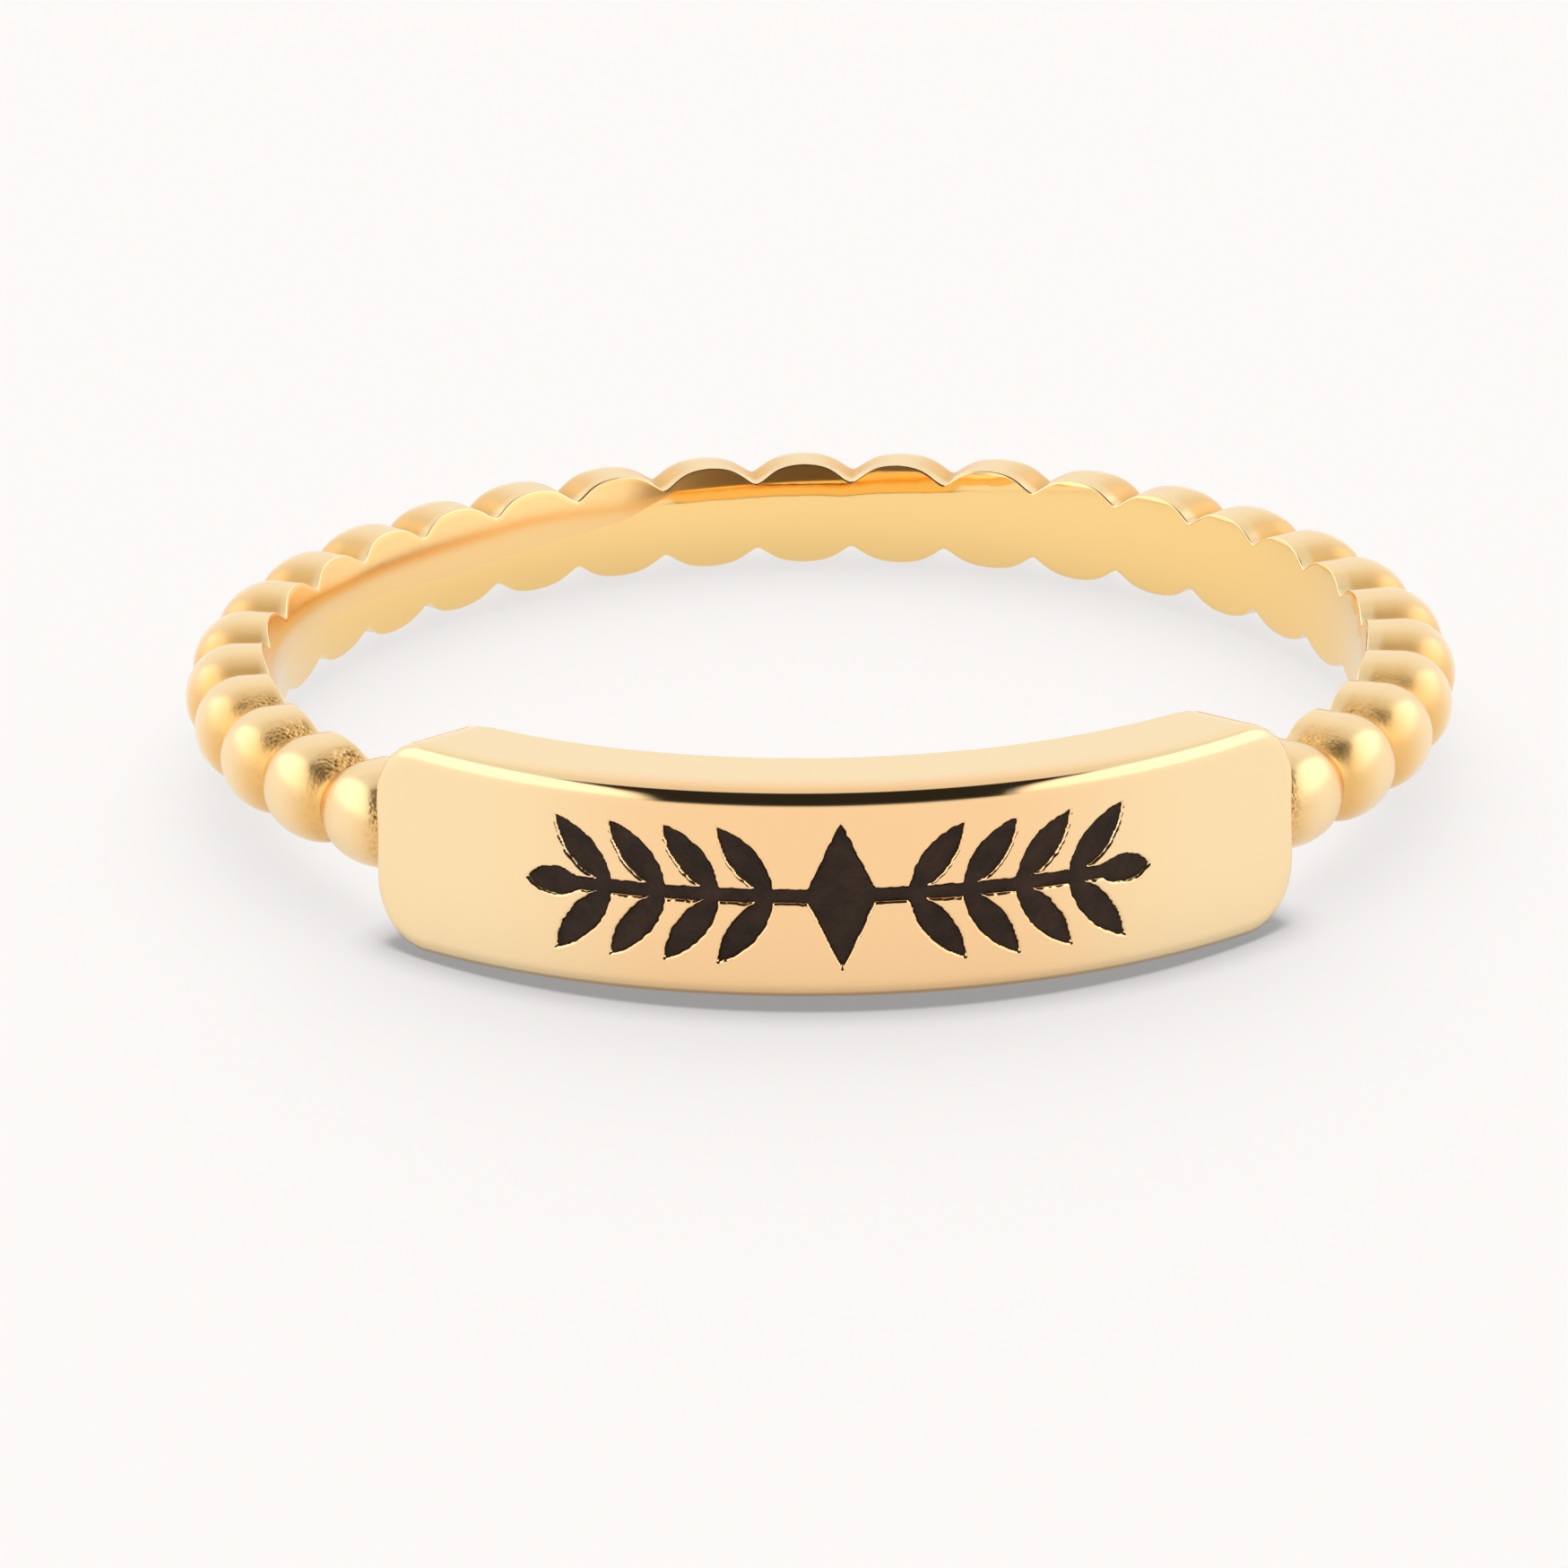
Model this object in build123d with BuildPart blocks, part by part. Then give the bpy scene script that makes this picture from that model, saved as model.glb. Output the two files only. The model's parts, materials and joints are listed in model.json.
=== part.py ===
"""Beaded finger ring with a curved bar plate, lying on its side as it rests by itself.

Millimetres. The ring is first made flat, with the finger hole's axis on Z, the plate towards -Y and the mid
plane at Z = 0. Then it is leaned into its rest pose: the plate is taller than the band, so the ring stands on
the two lower corners of the plate and on the rearmost bead. The origin is the middle of the ring's box, on the
surface that it lies on.
"""

from build123d import *
from math import acos, asin, atan2, cos, degrees, hypot, radians, sin
import os

# Finger hole, cut through the band and the plate
bore_radius = 8.5

# Beads: barrels that are half round outside and straight towards the finger, with a groove where they meet
bead_count = 27
bead_pitch = 10.0
bead_radius = 0.83
bead_centre_offset = 0.6
groove_depth = 0.28
band_bore_bevel = 0.1

# Bar plate: its inner face is the finger hole, its front face an arc that is nearer the finger at the ends
plate_angle = 91.6
plate_height = 3.38
plate_middle_thickness = 1.7
plate_end_thickness = 1.45
plate_corner_radius = 1.05
plate_front_round = 0.35
plate_bore_round = 0.1

# Engraved ornament: a leafy sprig with a lozenge in its middle
engraving_depth = 0.12
lozenge_width = 1.1
lozenge_height = 2.3
stem_length = 8.3
stem_width = 0.2
leaf_length = 1.35
leaf_width = 0.42
leaf_slant = 52.0
leaf_pairs = 4
first_leaf = 1.05
leaf_spacing = 0.82
tip_leaf_length = 0.8
tip_leaf_overlap = 0.2

# Dark filling in the engraving
filling_clearance = 0.02
filling_recess = 0.03

# Extra metal or cutter length that no finished face shows
overshoot = 0.2

# A bead from the groove to its middle: (share of half the pitch, share of the groove's depth)
bead_profile = [
    (0.00, 0.00),
    (0.15, 0.14),
    (0.30, 0.50),
    (0.46, 0.82),
    (0.66, 0.97),
    (1.00, 1.00),
]

plain_angle = 360.0 - bead_count * bead_pitch
bead_centre_radius = bore_radius + bead_centre_offset

plate_front_reach = bore_radius + plate_middle_thickness
plate_end_radius = bore_radius + plate_end_thickness
plate_half_chord = plate_end_radius * sin(radians(plate_angle / 2))
plate_bow = plate_front_reach - plate_end_radius * cos(radians(plate_angle / 2))
front_arc_radius = (plate_half_chord**2 + plate_bow**2) / (2 * plate_bow)
front_arc_centre = front_arc_radius - plate_front_reach


def around_ring(radius, angle, height=0.0):
    """Point at a radius and an angle from the front of the ring, the plate's middle."""
    return Vector(radius * sin(radians(angle)), -radius * cos(radians(angle)), height)


def section_plane(angle):
    """Plane through the ring's axis, its X pointing outwards at the angle and its Y along the axis."""
    outwards = around_ring(1, angle)
    return Plane(origin=(0, 0, 0), x_dir=outwards, z_dir=outwards.cross(Vector(0, 0, 1)))


def band_section(angle, fullness):
    """Sketch of the band's section, from groove (0) to full bead (1), reaching into the finger hole."""
    radius = bead_radius - (1 - fullness) * groove_depth
    bevel_start = bore_radius + band_bore_bevel
    inside = bore_radius - overshoot
    inside_half_height = radius - band_bore_bevel - overshoot
    with BuildSketch(section_plane(angle)) as section:
        with BuildLine():
            Polyline(
                (bead_centre_radius, radius),
                (bevel_start, radius),
                (inside, inside_half_height),
                (inside, -inside_half_height),
                (bevel_start, -radius),
                (bead_centre_radius, -radius),
            )
            ThreePointArc(
                (bead_centre_radius, -radius),
                (bead_centre_radius + radius, 0),
                (bead_centre_radius, radius),
            )
        make_face()
    return section.sketch


def leaf(length, width):
    """Pointed leaf lying along X from the origin, between two equal arcs."""
    arc_radius = (length**2 + width**2) / (4 * width)
    with BuildSketch() as outline:
        with Locations((length / 2, arc_radius - width / 2)):
            Circle(arc_radius)
        with Locations((length / 2, width / 2 - arc_radius)):
            Circle(arc_radius, mode=Mode.INTERSECT)
    return outline.sketch


def sprig(inset=0.0):
    """The ornament, drawn flat. An inset leaves that much room between it and the full outline."""
    side_leaf = leaf(leaf_length - 2 * inset, leaf_width - 2 * inset)
    tip_leaf = leaf(tip_leaf_length - 2 * inset, leaf_width - 2 * inset)
    with BuildSketch() as ornament:
        Rectangle(stem_length, stem_width - 2 * inset)
        with Locations((stem_length / 2 - tip_leaf_overlap + inset, 0)):
            add(tip_leaf)
        for pair in range(leaf_pairs):
            foot = first_leaf + pair * leaf_spacing
            for slant in (leaf_slant, -leaf_slant):
                base = Vector(foot, 0) + Vector(inset, 0).rotate(Axis.Z, slant)
                with Locations(Location(base, (0, 0, slant))):
                    add(side_leaf)
        mirror(about=Plane.YZ)
        lozenge_half_width = lozenge_width / 2 - 2 * inset
        lozenge_half_height = lozenge_height / 2 - 2 * inset
        with BuildLine():
            Polyline(
                (lozenge_half_width, 0),
                (0, lozenge_half_height),
                (-lozenge_half_width, 0),
                (0, -lozenge_half_height),
                close=True,
            )
        make_face()
    return ornament.sketch


def engraved(shallow, deep, inset=0.0):
    """Solid of the ornament between two depths under the plate's front face."""
    with BuildPart() as solid:
        with BuildSketch(Plane.XZ.offset(plate_front_reach + overshoot)):
            add(sprig(inset))
        extrude(amount=-(plate_bow + overshoot))
        with BuildSketch(Plane.XY.offset(-plate_height)):
            with Locations((0, front_arc_centre)):
                Circle(front_arc_radius - shallow)
                Circle(front_arc_radius - deep, mode=Mode.SUBTRACT)
        extrude(amount=2 * plate_height, mode=Mode.INTERSECT)
    return solid.part


# One bead at the back of the ring, lofted from groove to groove
with BuildPart() as bead:
    first_half = [((share - 1) * bead_pitch / 2, fullness) for share, fullness in bead_profile]
    second_half = [(-angle, fullness) for angle, fullness in reversed(first_half[:-1])]
    loft([band_section(180 + angle, fullness) for angle, fullness in first_half + second_half])

# The band: beads side by side round the back, on a plain wire where the plate is soldered over it
with BuildPart() as band:
    first_turn = -bead_pitch * (bead_count - 1) / 2
    with PolarLocations(0, bead_count, start_angle=first_turn, angular_range=-2 * first_turn, endpoint=True):
        add(bead.part)
    add(band_section(-plain_angle / 2, 0))
    revolve(axis=Axis.Z, revolution_arc=plain_angle)
    Cylinder(bore_radius, 2 * plate_height, mode=Mode.SUBTRACT)

# The bar plate: a slab with rounded ends and eased edges
with BuildPart() as plate:
    with BuildSketch(Plane.XY.offset(-plate_height / 2)):
        with BuildLine():
            ThreePointArc(
                around_ring(plate_end_radius, -plate_angle / 2),
                around_ring(plate_front_reach, 0),
                around_ring(plate_end_radius, plate_angle / 2),
            )
            Line(around_ring(plate_end_radius, plate_angle / 2), around_ring(bore_radius, plate_angle / 2))
            ThreePointArc(
                around_ring(bore_radius, plate_angle / 2),
                around_ring(bore_radius, 0),
                around_ring(bore_radius, -plate_angle / 2),
            )
            Line(around_ring(bore_radius, -plate_angle / 2), around_ring(plate_end_radius, -plate_angle / 2))
        make_face()
    extrude(amount=plate_height)
    end_edges = plate.edges().filter_by(GeomType.LINE).filter_by(Axis.Z, reverse=True)
    fillet(end_edges, plate_corner_radius)
    for surface_radius, edge_round in ((plate_front_reach, plate_front_round), (bore_radius, plate_bore_round)):
        middle = around_ring(surface_radius, 0)
        surface = plate.faces().sort_by(lambda face: (face.center() - middle).length)[0]
        fillet(surface.edges(), edge_round)

# The whole ring, flat: band and plate in one solid, with the engraving cut
with BuildPart() as flat_ring:
    add(band.part)
    add(plate.part)
    add(engraved(-overshoot, engraving_depth), mode=Mode.SUBTRACT)

# Rest pose: the lean at which the two lower corners of the plate and the rearmost bead touch the surface
rounding_reach = bore_radius + plate_bore_round
corner_turn = radians(plate_angle / 2) - asin(plate_corner_radius / rounding_reach)
span = bead_centre_radius + rounding_reach * cos(corner_turn)
rise = plate_height / 2 - plate_bore_round
lean = degrees(acos((bead_radius - plate_bore_round) / hypot(span, rise)) - atan2(span, rise))
leaned_box = flat_ring.part.rotate(Axis.X, -lean).bounding_box()
rest = Location((0, -leaned_box.center().Y, -leaned_box.min.Z), (-lean, 0, 0))

with BuildPart() as ring_body:
    with Locations(rest):
        add(flat_ring.part)

with BuildPart() as engraving_fill:
    with Locations(rest):
        add(engraved(filling_recess, engraving_depth - filling_clearance, filling_clearance))

print("lean", lean, "finger hole's middle", rest.position)
os.makedirs("parts", exist_ok=True)
ring_body.part.label = "ring_body"
export_step(ring_body.part, "parts/ring_body.step")
engraving_fill.part.label = "engraving_fill"
export_step(engraving_fill.part, "parts/engraving_fill.step")
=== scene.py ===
import bmesh
import bpy
import json
import math
import numpy as np
from mathutils import Matrix, Vector, noise


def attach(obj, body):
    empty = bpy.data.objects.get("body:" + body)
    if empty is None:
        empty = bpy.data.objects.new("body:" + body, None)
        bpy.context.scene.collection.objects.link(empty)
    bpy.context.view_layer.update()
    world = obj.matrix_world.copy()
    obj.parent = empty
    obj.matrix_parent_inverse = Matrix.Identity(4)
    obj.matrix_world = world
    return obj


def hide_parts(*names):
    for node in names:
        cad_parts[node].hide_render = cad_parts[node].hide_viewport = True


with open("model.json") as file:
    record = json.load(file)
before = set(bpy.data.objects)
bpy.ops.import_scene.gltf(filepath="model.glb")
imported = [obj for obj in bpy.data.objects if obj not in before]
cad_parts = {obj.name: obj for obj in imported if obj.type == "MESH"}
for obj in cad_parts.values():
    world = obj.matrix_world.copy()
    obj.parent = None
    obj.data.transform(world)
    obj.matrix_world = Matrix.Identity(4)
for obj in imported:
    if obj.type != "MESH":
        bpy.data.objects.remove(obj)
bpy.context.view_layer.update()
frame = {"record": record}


# Bead band
# Twenty-seven barrel beads in one piece, cast in silver and plated with yellow gold. They are half round
# outside and straight towards the finger. A wheel has polished them, and doesn't reach into their grooves.

# Each piece is drawn flat, in millimetres round the finger hole's axis. Then it is laid as a loose ring
# lies, on the two lower corners of its plate and on its rearmost bead, so that it leans a little.
millimetre = 0.001
finger_hole = frame["record"]["mounts"][0]
hole_middle = Vector(finger_hole["pos_m"])
hole_axis = Vector(finger_hole["axis"])
lean = Vector((0, 0, 1)).rotation_difference(hole_axis).to_matrix()
lay_down = Matrix.Translation(hole_middle) @ lean.to_4x4() @ Matrix.Scale(millimetre, 4)

# Lengths in millimetres, turns and spreads round the finger in degrees
bore_radius = 8.5
bead_count = 27
bead_pitch = 10.0
bead_radius = 0.83
bead_centre = 9.1
groove_depth = 0.28
groove_spread = 1.95
groove_sharpness = 1.5
bore_edge_round = 0.03
least_bevel = 0.02
band_start = 180 - bead_count * bead_pitch / 2

# The finger side by degrees from the back of the ring, the right side counted up: radius of the comfort
# curve across the band, height of the bevel's foot, height in which the foot is blended, bevel in degrees,
# filed share
finger_side_by_place = (
    (-135, 3.2, 0.10, 0.30, 20, 0.3),
    (-57, 3.2, -0.05, 0.60, 21, 0.5),
    (-42, 3.2, -0.22, 0.78, 17, 0.5),
    (-31, 3.2, -0.10, 0.69, 15, 0.5),
    (-20, 3.2, 0.10, 0.44, 15, 0.6),
    (-14, 3.2, 0.50, 0.04, 20, 1.0),
    (4, 3.2, 0.56, 0.02, 20, 1.0),
    (8, 4.0, 0.72, 0.02, 20, 1.0),
    (20, 4.5, 0.74, 0.02, 20, 0.5),
    (32, 7.0, 0.74, 0.02, 20, 0.0),
    (135, 9.0, 0.75, 0.02, 20, 0.0),
)

# The cast skin that the wheel leaves fades away from the grooves, and stops at a polished rim by the finger
dull_spread = 3.0
least_dullness = 0.12
polished_rim = 0.15
finger_share_of_bevel = 0.5

# Points along a bead and round its section
steps_along_bead = 32
bore_steps = 21
bevel_steps = 12
bevel_crowding = 1.3
round_steps = 5
flat_steps = 12
outside_steps = 41
slope_steps = 200
finger_side_steps = bore_steps + bevel_steps + round_steps - 1
weld_distance = 0.001


def linear(colour):
    """Linear RGBA of an sRGB hex colour."""
    values = [int(colour[i:i + 2], 16) / 255 for i in (1, 3, 5)]
    return [v / 12.92 if v <= 0.04045 else ((v + 0.055) / 1.055) ** 2.4 for v in values] + [1.0]


def pattern_scale(width):
    """Scale of a pattern on Object coordinates, which are metres, from its width in millimetres."""
    return 1 / (width * millimetre)


def add_node(tree, kind, inputs=None, **settings):
    """Adds a node, gives it its settings, and sets or links its inputs by name or number."""
    node = tree.nodes.new(kind)
    for name, value in settings.items():
        setattr(node, name, value)
    for name, value in (inputs or {}).items():
        if isinstance(value, bpy.types.NodeSocket):
            tree.links.new(value, node.inputs[name])
        else:
            node.inputs[name].default_value = value
    return node


def new_material(name):
    """A node material with nothing in it yet, and its tree."""
    material = bpy.data.materials.new(name)
    material.use_nodes = True
    material.node_tree.nodes.clear()
    return material, material.node_tree


# Polished gold plating on cast silver. The wheel leaves it nearly mirror bright, with a faint softness that
# blurs the softboxes' edges. The grooves keep the dull grain of the cast, coarsest beside the plate.
outside_gold = "#FFE4B4"
# Painted reflection: the finger side is painted a deeper gold, for the gold that it mirrors across the hole
painted_reflection_gold = "#FFD890"
# Painted shade: the plate's face is painted a darker, rosier gold in its middle, for a dimmer reflection
# there
painted_shade_gold = "#FFD5A0"
groove_gold = "#F0BE74"
filed_gold = "#F8B868"
pit_brown = "#8F5A24"
plate_roughness = (0.06, 0.09)
bead_roughness = 0.2
bore_roughness = 0.05
filed_roughness = 0.34
cast_roughness = 0.4
# Widths and depths in millimetres. The real marks of the wheel are finer, and are drawn as coarse as they
# need to be to show.
polish_cloud_width = 1 / 0.9
wheel_mark_width = 1 / 1.5
wheel_mark_depth = 0.02
grain_width = 1 / 9
crumb_width = 1 / 15
grain_depth = 0.04

gold_plating, tree = new_material("polished_gold_plating")
place = add_node(tree, "ShaderNodeTexCoord").outputs["Object"]
# Shares that the meshes carry: cast skin, coarseness of its grain, towards the finger, filed, painted shade
as_cast, cast_grain, finger_side, hand_filed, painted_face_shade = [
    add_node(tree, "ShaderNodeAttribute", attribute_name=share).outputs["Fac"]
    for share in ("as_cast", "cast_grain", "finger_side", "hand_filed", "painted_face_shade")]
polish_cloud = add_node(tree, "ShaderNodeTexNoise", {
    "Vector": place, "Scale": pattern_scale(polish_cloud_width), "Detail": 3.0})
polish_rough = add_node(tree, "ShaderNodeMapRange", {
    "Value": polish_cloud.outputs["Fac"], "From Min": 0.3, "From Max": 0.7,
    "To Min": plate_roughness[0], "To Max": plate_roughness[1]})
bead_share = add_node(tree, "ShaderNodeMapRange", {
    "Value": as_cast, "From Min": 0.0, "From Max": least_dullness})
groove_share = add_node(tree, "ShaderNodeMapRange", {"Value": as_cast, "From Min": 0.25, "From Max": 1.0})

# A Mix node's inputs go by number: 0 is the share, 2 and 3 are the values, 6 and 7 the colours
roughness = polish_rough.outputs["Result"]
for share, finish in (
        (bead_share.outputs["Result"], bead_roughness),
        (finger_side, bore_roughness),
        (hand_filed, filed_roughness),
        (groove_share.outputs["Result"], cast_roughness)):
    mixed = add_node(tree, "ShaderNodeMix", {0: share, 2: roughness, 3: finish}, data_type="FLOAT")
    roughness = mixed.outputs[0]
grain = add_node(tree, "ShaderNodeTexNoise", {
    "Vector": place, "Scale": pattern_scale(grain_width), "Detail": 4.0, "Roughness": 0.6})
crumbs = add_node(tree, "ShaderNodeTexVoronoi", {
    "Vector": place, "Scale": pattern_scale(crumb_width), "Randomness": 1.0})
crumb_number = add_node(tree, "ShaderNodeSeparateColor", {"Color": crumbs.outputs["Color"]})
pits = add_node(tree, "ShaderNodeMapRange", {
    "Value": crumb_number.outputs["Red"], "From Min": 0.45, "From Max": 0.9})
pit_share = add_node(tree, "ShaderNodeMath", {
    0: pits.outputs["Result"], 1: cast_grain}, operation="MULTIPLY")
filed_most = add_node(tree, "ShaderNodeMath", {0: hand_filed, 1: 2.0}, operation="POWER")
tone = linear(outside_gold)
for share, colour in (
        # painted reflection: a deeper gold on the finger side
        (finger_side, painted_reflection_gold),
        # painted shade in the middle of the plate's face
        (painted_face_shade, painted_shade_gold),
        (as_cast, groove_gold),
        (filed_most.outputs["Value"], filed_gold),
        (pit_share.outputs["Value"], pit_brown)):
    mixed = add_node(tree, "ShaderNodeMix", {0: share, 6: tone, 7: linear(colour)}, data_type="RGBA")
    tone = mixed.outputs[2]
grain_form = add_node(tree, "ShaderNodeMath", {
    0: crumbs.outputs["Distance"], 1: grain.outputs["Fac"]}, operation="ADD")
grain_height = add_node(tree, "ShaderNodeBump", {
    "Strength": cast_grain, "Distance": grain_depth * millimetre,
    "Height": grain_form.outputs["Value"]}, invert=True)
wheel_marks = add_node(tree, "ShaderNodeTexNoise", {
    "Vector": place, "Scale": pattern_scale(wheel_mark_width), "Detail": 2.0})
wheel_height = add_node(tree, "ShaderNodeBump", {
    "Strength": 0.12, "Distance": wheel_mark_depth * millimetre, "Height": wheel_marks.outputs["Fac"],
    "Normal": grain_height.outputs["Normal"]})
metal = add_node(tree, "ShaderNodeBsdfPrincipled", {
    "Base Color": tone, "Metallic": 1.0, "Roughness": roughness, "Normal": wheel_height.outputs["Normal"]})
add_node(tree, "ShaderNodeOutputMaterial", {"Surface": metal.outputs["BSDF"]})


def mesh_piece(name, points, faces):
    """A smooth mesh object from points in flat millimetres."""
    mesh = bpy.data.meshes.new(name)
    mesh.from_pydata([tuple(point) for point in points], [], faces)
    mesh.validate()
    mesh.shade_smooth()
    piece = bpy.data.objects.new(name, mesh)
    bpy.context.scene.collection.objects.link(piece)
    return piece


def band_section(half_height, comfort_radius, bevel_foot, blend, bevel_degrees):
    """Points (distance from the axis, height) once round the band's section at a bead or a groove."""
    edge_height = half_height - bore_edge_round
    foot = min(bevel_foot, edge_height - least_bevel)
    comfort_middle = bore_radius + comfort_radius
    heights = np.linspace(-edge_height, foot, bore_steps)
    bore = np.stack([comfort_middle - np.sqrt(comfort_radius**2 - heights**2), heights], 1)
    foot_slope = math.asin(foot / comfort_radius)
    fine = np.linspace(foot, edge_height, slope_steps)
    slopes = foot_slope + (math.radians(bevel_degrees) - foot_slope) * np.clip((fine - foot) / blend, 0, 1)
    reach = np.concatenate([[0], np.cumsum(np.tan((slopes[1:] + slopes[:-1]) / 2) * np.diff(fine))])
    heights = foot + (edge_height - foot) * np.linspace(0, 1, bevel_steps + 1)[1:] ** bevel_crowding
    bevel = np.stack([bore[-1, 0] + np.interp(heights, fine, reach), heights], 1)
    edge_middle = bevel[-1, 0] + bore_edge_round * math.cos(slopes[-1])
    edge_base = edge_height - bore_edge_round * math.sin(slopes[-1])
    turn = np.linspace(math.pi - slopes[-1], math.pi / 2, round_steps)[1:]
    round_out, round_up = bore_edge_round * np.cos(turn), bore_edge_round * np.sin(turn)
    edge = np.stack([edge_middle + round_out, edge_base + round_up], 1)
    top_height = edge[-1, 1]
    across = np.linspace(edge_middle, bead_centre, flat_steps)[1:-1]
    top = np.stack([across, np.full_like(across, top_height)], 1)
    turn = np.linspace(math.pi / 2, -math.pi / 2, outside_steps)
    outside = np.stack([bead_centre + top_height * np.cos(turn), top_height * np.sin(turn)], 1)
    low_middle = bore[0, 0] + bore_edge_round
    across = np.linspace(bead_centre, low_middle, flat_steps)[1:]
    bottom = np.stack([across, np.full_like(across, -top_height)], 1)
    turn = np.linspace(-math.pi / 2, -math.pi, round_steps)[1:-1]
    low_drop = top_height - edge_height
    round_out, round_up = bore_edge_round * np.cos(turn), low_drop * np.sin(turn)
    low_edge = np.stack([low_middle + round_out, round_up - edge_height], 1)
    return np.concatenate([bore, bevel, edge, top, outside, bottom, low_edge])


def bead_half_height(from_groove):
    """Half the height of the band at some degrees from the nearest groove."""
    return bead_radius - groove_depth * math.exp(-((from_groove / groove_spread) ** groove_sharpness))


def turned_section(section, turn):
    """A section's points at a turn round the finger, in degrees from the front."""
    angle = math.radians(turn)
    return np.stack([section[:, 0] * math.sin(angle), -section[:, 0] * math.cos(angle), section[:, 1]], 1)


# One bead, from groove to groove, in front of the axis
bead_points = []
bead_values = {"as_cast": [], "finger_side": [], "hand_filed": [], "section_step": []}
for turn in np.linspace(-bead_pitch / 2, bead_pitch / 2, steps_along_bead + 1):
    from_groove = bead_pitch / 2 - abs(turn)
    section = band_section(bead_half_height(from_groove), *finger_side_by_place[0][1:-1])
    bead_points += list(turned_section(section, turn))
    steps = np.arange(len(section))
    on_bevel = (steps >= bore_steps) & (steps < bore_steps + bevel_steps)
    dullness = max(math.exp(-((from_groove / dull_spread) ** 2)), least_dullness)
    unpolished = np.clip((section[:, 0] - bore_radius - polished_rim) / polished_rim, 0, 1)
    bead_values["as_cast"] += list(dullness * unpolished)
    # The finger side's share, half on the bevel, also sets its painted deeper reflection
    bead_values["finger_side"] += list(np.where(on_bevel, finger_share_of_bevel, steps < bore_steps))
    bead_values["hand_filed"] += list(np.where(on_bevel, 1.0, 0.0))
    bead_values["section_step"] += list(steps)
section_size = len(section)
bead_faces = []
for k in range(steps_along_bead):
    for i in range(section_size):
        near = k * section_size + i
        near_next = k * section_size + (i + 1) % section_size
        bead_faces.append((near, near_next, near_next + section_size, near + section_size))
bead_band = mesh_piece("bead_band", bead_points, bead_faces)
for name, values in bead_values.items():
    bead_band.data.attributes.new(name, "FLOAT", "POINT").data.foreach_set("value", values)

# The bead is repeated round the back of the ring and welded at the grooves
tree = bpy.data.node_groups.new("beads_round_the_finger", "GeometryNodeTree")
given_sockets = (("Bead", "Geometry"), ("Bead count", "Int"), ("Bead pitch", "Float"), ("Metal", "Material"))
for socket, kind in given_sockets:
    tree.interface.new_socket(socket, in_out="INPUT", socket_type="NodeSocket" + kind)
tree.interface.new_socket("Band", in_out="OUTPUT", socket_type="NodeSocketGeometry")
given = add_node(tree, "NodeGroupInput").outputs
spots = add_node(tree, "GeometryNodePoints", {"Count": given["Bead count"]})
number = add_node(tree, "GeometryNodeInputIndex").outputs["Index"]
last_number = add_node(tree, "ShaderNodeMath", {0: given["Bead count"], 1: 1.0}, operation="SUBTRACT")
middle_number = add_node(tree, "ShaderNodeMath", {
    0: last_number.outputs["Value"], 1: 0.5}, operation="MULTIPLY")
from_middle = add_node(tree, "ShaderNodeMath", {
    0: number, 1: middle_number.outputs["Value"]}, operation="SUBTRACT")
from_back = add_node(tree, "ShaderNodeMath", {
    0: from_middle.outputs["Value"], 1: given["Bead pitch"]}, operation="MULTIPLY")
from_front = add_node(tree, "ShaderNodeMath", {0: from_back.outputs["Value"], 1: math.pi}, operation="ADD")
euler = add_node(tree, "ShaderNodeCombineXYZ", {"Z": from_front.outputs["Value"]})
rotation = add_node(tree, "FunctionNodeEulerToRotation", {"Euler": euler.outputs["Vector"]})
beads = add_node(tree, "GeometryNodeInstanceOnPoints", {
    "Points": spots.outputs[0], "Instance": given["Bead"], "Rotation": rotation.outputs["Rotation"]})
solid = add_node(tree, "GeometryNodeRealizeInstances", {"Geometry": beads.outputs["Instances"]})
welded = add_node(tree, "GeometryNodeMergeByDistance", {
    "Geometry": solid.outputs["Geometry"], "Distance": weld_distance})
plated = add_node(tree, "GeometryNodeSetMaterial", {
    "Geometry": welded.outputs["Geometry"], "Material": given["Metal"]})
add_node(tree, "NodeGroupOutput", {"Band": plated.outputs["Geometry"]})
repeat = bead_band.modifiers.new("beads", "NODES")
repeat.node_group = tree
sizes = {"Bead count": bead_count, "Bead pitch": math.radians(bead_pitch), "Metal": gold_plating}
for item in tree.interface.items_tree:
    if item.in_out == "INPUT" and item.name in sizes:
        repeat[item.identifier] = sizes[item.name]
bpy.context.view_layer.update()
band_mesh = bpy.data.meshes.new_from_object(bead_band.evaluated_get(bpy.context.evaluated_depsgraph_get()))
bead_band.modifiers.clear()
bead_band.data = band_mesh
band_mesh.name = "bead_band"


def band_vectors(name):
    """The coordinates or the normals of the band's points."""
    values = np.zeros(len(band_mesh.vertices) * 3, np.float32)
    band_mesh.vertices.foreach_get(name, values)
    return values.reshape(-1, 3)


def band_values(name):
    """The values of a named attribute at the band's points."""
    values = np.zeros(len(band_mesh.vertices), np.float32)
    band_mesh.attributes[name].data.foreach_get("value", values)
    return values


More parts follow.
